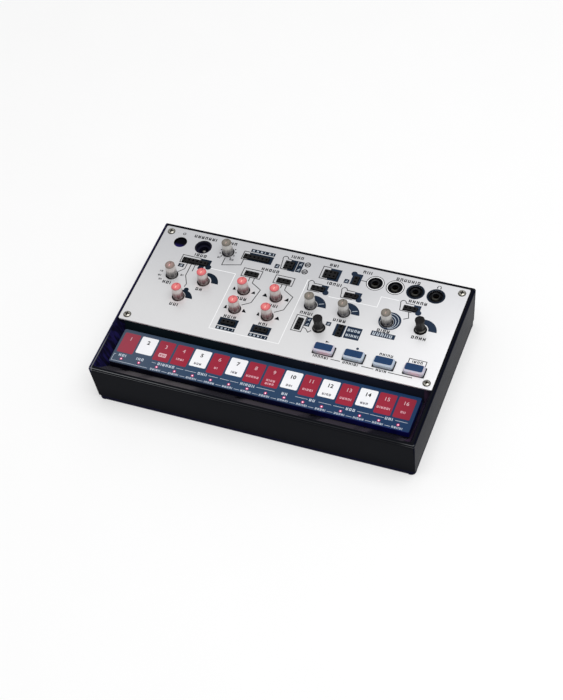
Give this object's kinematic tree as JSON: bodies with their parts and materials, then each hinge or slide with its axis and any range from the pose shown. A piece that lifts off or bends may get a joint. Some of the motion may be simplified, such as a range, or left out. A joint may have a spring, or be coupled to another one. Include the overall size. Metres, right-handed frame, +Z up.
{
  "type": "modular synthesizer",
  "caption": "Tabletop patch synthesizer with a printed touch strip along the front and a deck of knobs, buttons, jacks and patch sockets.",
  "frame": {"origin": "on the table, under the middle of the case", "axes": "+X to the player's right along the case's width, +Y away from the player, +Z up"},
  "size_m": [0.193, 0.115, 0.0394],
  "materials": {
    "smoke": "glossy smoked plastic",
    "base": "deep blue tinted plastic",
    "silver": "satin silver with dark blue print",
    "strip": "clear blue with printed keys",
    "chrome": "polished",
    "sand": "translucent sand",
    "rose": "translucent, lit red from below",
    "black": "satin black",
    "milk": "milky with a dark print on top",
    "socket": "satin black",
    "board": "solder mask",
    "rubber": "matte",
    "contact": "nickel plated spring steel",
    "speaker": "black basket and cone",
    "cable": "flat flexible cable"
  },
  "bodies": {
    "case": {"bottom_case": "base", "top_case": "smoke", "top_panel": "silver", "touch_strip": "strip", "keyboard_board": "board", "main_board": "board", "flat_cable": "cable", "speaker": "speaker", "battery_contacts_left": "contact", "battery_contacts_right": "contact", "power_switch": "socket", "power_inlet": "socket", "foot_front_left": "rubber", "foot_front_right": "rubber", "foot_back_left": "rubber", "foot_back_right": "rubber", "panel_screw_front_left": "chrome", "panel_screw_front_right": "chrome", "panel_screw_back_left": "chrome", "panel_screw_back_right": "chrome", "board_screw_back": "chrome", "board_screw_right": "chrome", "jack_cv_in": "socket", "jack_sync_in": "socket", "jack_sync_out": "socket", "jack_headphones": "socket", "socket_source": "socket", "socket_modulation": "socket", "socket_middle": "socket", "socket_split": "socket", "socket_cv": "socket", "socket_attack": "socket", "socket_shape": "socket", "socket_release": "socket", "socket_time": "socket", "socket_gate_left": "socket", "socket_gate_right": "socket", "socket_sequencer": "socket", "socket_random": "socket", "socket_space": "socket"},
    "battery_cover": {"battery_cover": "base"},
    "power_button": {"power_button": "black"},
    "button_play": {"button_play": "milk"},
    "button_record": {"button_record": "milk"},
    "button_memory": {"button_memory": "milk"},
    "button_function": {"button_function": "milk"},
    "knob_pitch": {"knob_pitch": "sand"},
    "knob_ratio": {"knob_ratio": "sand"},
    "knob_mod": {"knob_mod": "rose"},
    "knob_fold": {"knob_fold": "rose"},
    "knob_attack": {"knob_attack": "rose"},
    "knob_release": {"knob_release": "rose"},
    "knob_shape": {"knob_shape": "rose"},
    "knob_time": {"knob_time": "rose"},
    "knob_cutoff_left": {"knob_cutoff_left": "sand"},
    "knob_cutoff_right": {"knob_cutoff_right": "sand"},
    "knob_tempo": {"knob_tempo": "black"},
    "knob_amount": {"knob_amount": "sand"},
    "knob_volume": {"knob_volume": "black"}
  },
  "joints": [
    {"name": "battery_cover_swing", "type": "hinge", "parent": "case", "child": "battery_cover", "pos_m": [-0.0185, -0.0159, 0.0012], "axis": [-1, 0, 0], "range_deg": [0, 75]},
    {"name": "power_button_press", "type": "slide", "parent": "case", "child": "power_button", "axis": [0, 0, -1], "range_m": [0, 0.0012], "stiffness_N_per_m": 800, "springref_m": -0.0005},
    {"name": "button_play_press", "type": "slide", "parent": "case", "child": "button_play", "axis": [0, 0, -1], "range_m": [0, 0.0008], "stiffness_N_per_m": 800, "springref_m": -0.0005},
    {"name": "button_record_press", "type": "slide", "parent": "case", "child": "button_record", "axis": [0, 0, -1], "range_m": [0, 0.0008], "stiffness_N_per_m": 800, "springref_m": -0.0005},
    {"name": "button_memory_press", "type": "slide", "parent": "case", "child": "button_memory", "axis": [0, 0, -1], "range_m": [0, 0.0008], "stiffness_N_per_m": 800, "springref_m": -0.0005},
    {"name": "button_function_press", "type": "slide", "parent": "case", "child": "button_function", "axis": [0, 0, -1], "range_m": [0, 0.0008], "stiffness_N_per_m": 800, "springref_m": -0.0005},
    {"name": "knob_pitch_turn", "type": "hinge", "parent": "case", "child": "knob_pitch", "pos_m": [-0.05092, 0.04451, 0.0304], "axis": [0, 0, 1], "range_deg": [-140, 140]},
    {"name": "knob_ratio_turn", "type": "hinge", "parent": "case", "child": "knob_ratio", "pos_m": [-0.07657, 0.01944, 0.0304], "axis": [0, 0, 1], "range_deg": [-140, 140]},
    {"name": "knob_mod_turn", "type": "hinge", "parent": "case", "child": "knob_mod", "pos_m": [-0.05658, 0.01944, 0.0304], "axis": [0, 0, 1], "range_deg": [-140, 140]},
    {"name": "knob_fold_turn", "type": "hinge", "parent": "case", "child": "knob_fold", "pos_m": [-0.06658, 0.00508, 0.0304], "axis": [0, 0, 1], "range_deg": [-140, 140]},
    {"name": "knob_attack_turn", "type": "hinge", "parent": "case", "child": "knob_attack", "pos_m": [-0.03131, 0.01944, 0.0304], "axis": [0, 0, 1], "range_deg": [-140, 140]},
    {"name": "knob_release_turn", "type": "hinge", "parent": "case", "child": "knob_release", "pos_m": [-0.03131, 0.00508, 0.0304], "axis": [0, 0, 1], "range_deg": [-140, 140]},
    {"name": "knob_shape_turn", "type": "hinge", "parent": "case", "child": "knob_shape", "pos_m": [-0.01132, 0.01944, 0.0304], "axis": [0, 0, 1], "range_deg": [-140, 140]},
    {"name": "knob_time_turn", "type": "hinge", "parent": "case", "child": "knob_time", "pos_m": [-0.01132, 0.00508, 0.0304], "axis": [0, 0, 1], "range_deg": [-140, 140]},
    {"name": "knob_cutoff_left_turn", "type": "hinge", "parent": "case", "child": "knob_cutoff_left", "pos_m": [0.00981, 0.01944, 0.0304], "axis": [0, 0, 1], "range_deg": [-140, 140]},
    {"name": "knob_cutoff_right_turn", "type": "hinge", "parent": "case", "child": "knob_cutoff_right", "pos_m": [0.02999, 0.01944, 0.0304], "axis": [0, 0, 1], "range_deg": [-140, 140]},
    {"name": "knob_tempo_turn", "type": "hinge", "parent": "case", "child": "knob_tempo", "pos_m": [0.01999, 0.00508, 0.0304], "axis": [0, 0, 1], "range_deg": [-140, 140]},
    {"name": "knob_amount_turn", "type": "hinge", "parent": "case", "child": "knob_amount", "pos_m": [0.05564, 0.01944, 0.0304], "axis": [0, 0, 1], "range_deg": [-140, 140]},
    {"name": "knob_volume_turn", "type": "hinge", "parent": "case", "child": "knob_volume", "pos_m": [0.07544, 0.01944, 0.0304], "axis": [0, 0, 1], "range_deg": [-140, 140]}
  ]
}
